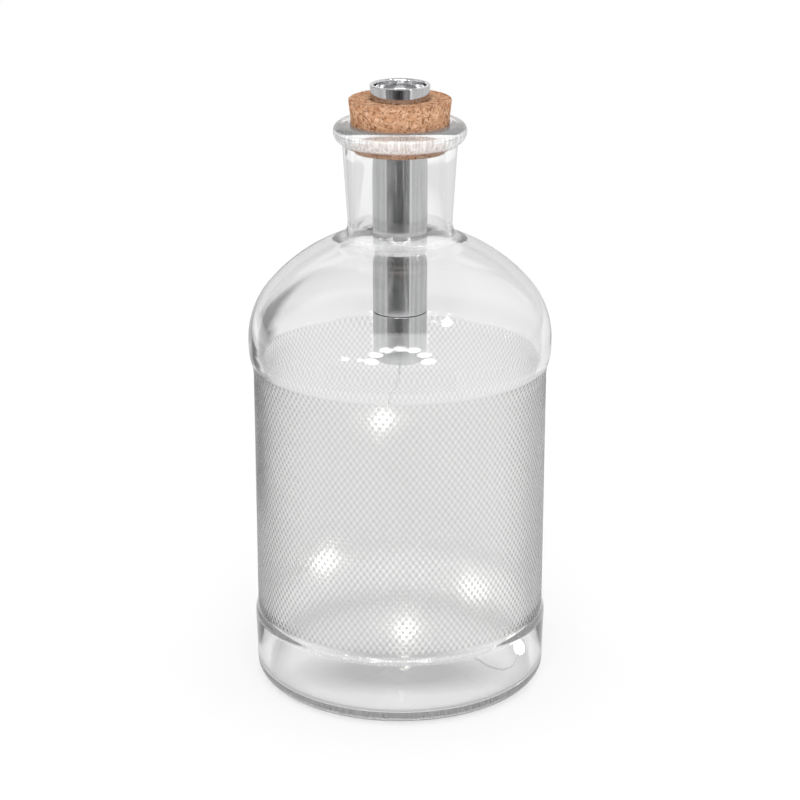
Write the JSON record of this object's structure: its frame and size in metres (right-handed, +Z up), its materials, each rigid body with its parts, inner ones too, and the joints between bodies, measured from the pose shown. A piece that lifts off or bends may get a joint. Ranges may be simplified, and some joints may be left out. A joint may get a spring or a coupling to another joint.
{
  "type": "cork bottle light",
  "caption": "Clear glass bottle with a finely knurled band, closed by a tapered cork that carries a slim polished battery tube with a push switch and a string of tiny white lights inside.",
  "frame": {"origin": "middle of the bottle's foot, on the surface it stands on", "axes": "+Z up along the bottle's axis; -Y faces the viewer"},
  "size_m": [0.0928, 0.0928, 0.1881],
  "materials": {
    "clear_glass": "clear pressed glass, knurled panel",
    "cork": "pressed granulated cork",
    "polished_metal": "polished bright plating",
    "cell_steel": "drawn nickel-plated steel",
    "cell_film": "plain shrink film",
    "spring_steel": "drawn wire",
    "black_rubber": "moulded matte",
    "contact_brass": "turned brass",
    "button_plastic": "moulded satin",
    "switch_plastic": "moulded matte",
    "board_laminate": "laminate with solder mask",
    "coil_ferrite": "sintered matte",
    "chip_black": "moulded matte",
    "capacitor_ceramic": "fired body",
    "lead_wire": "insulated wire",
    "string_metal": "silver lacquered wire",
    "led_resin": "clear cast resin",
    "led_chip": "light chip with phosphor"
  },
  "bodies": {
    "bottle": {"bottle": "clear_glass"},
    "stopper": {"cork_stopper": "cork", "battery_tube": "polished_metal", "cell_can": "cell_steel", "cell_sleeve": "cell_film", "cell_terminal": "cell_steel", "end_cap": "polished_metal", "seam_gasket": "black_rubber", "driver_board": "board_laminate", "positive_contact": "contact_brass", "driver_coil": "coil_ferrite", "driver_chip": "chip_black", "driver_capacitor": "capacitor_ceramic", "wire_grommet": "black_rubber", "board_leads": "lead_wire", "string_wire": "string_metal", "led_drop_1": "led_resin", "led_drop_2": "led_resin", "led_drop_3": "led_resin", "led_drop_4": "led_resin", "led_drop_5": "led_resin", "led_die_1": "led_chip", "led_die_2": "led_chip", "led_die_3": "led_chip", "led_die_4": "led_chip", "led_die_5": "led_chip"},
    "tail_spring": {"tail_spring": "spring_steel"},
    "top_cap": {"top_cap": "polished_metal", "cap_o_ring": "black_rubber", "switch_housing": "switch_plastic", "switch_retainer": "contact_brass"},
    "button": {"button": "button_plastic", "switch_plunger": "switch_plastic"}
  },
  "joints": [
    {"name": "stopper_lift", "type": "slide", "parent": "bottle", "child": "stopper", "axis": [0, 0, 1], "range_m": [0, 0.085]},
    {"name": "cap_rise", "type": "slide", "parent": "stopper", "child": "tail_spring", "axis": [0, 0, 1], "range_m": [0, 0.0051], "deforming": ["tail_spring"]},
    {"name": "cap_turn", "type": "hinge", "parent": "tail_spring", "child": "top_cap", "pos_m": [0, 0, 0.18], "axis": [0, 0, 1], "range_deg": [0, 1800]},
    {"name": "button_press", "type": "slide", "parent": "top_cap", "child": "button", "axis": [0, 0, -1], "range_m": [0, 0.0012], "stiffness_N_per_m": 900, "springref_m": -0.0006}
  ],
  "couplings": [
    {"joint": "cap_rise", "follows": "cap_turn", "m_per_rad": 0.00015915}
  ]
}
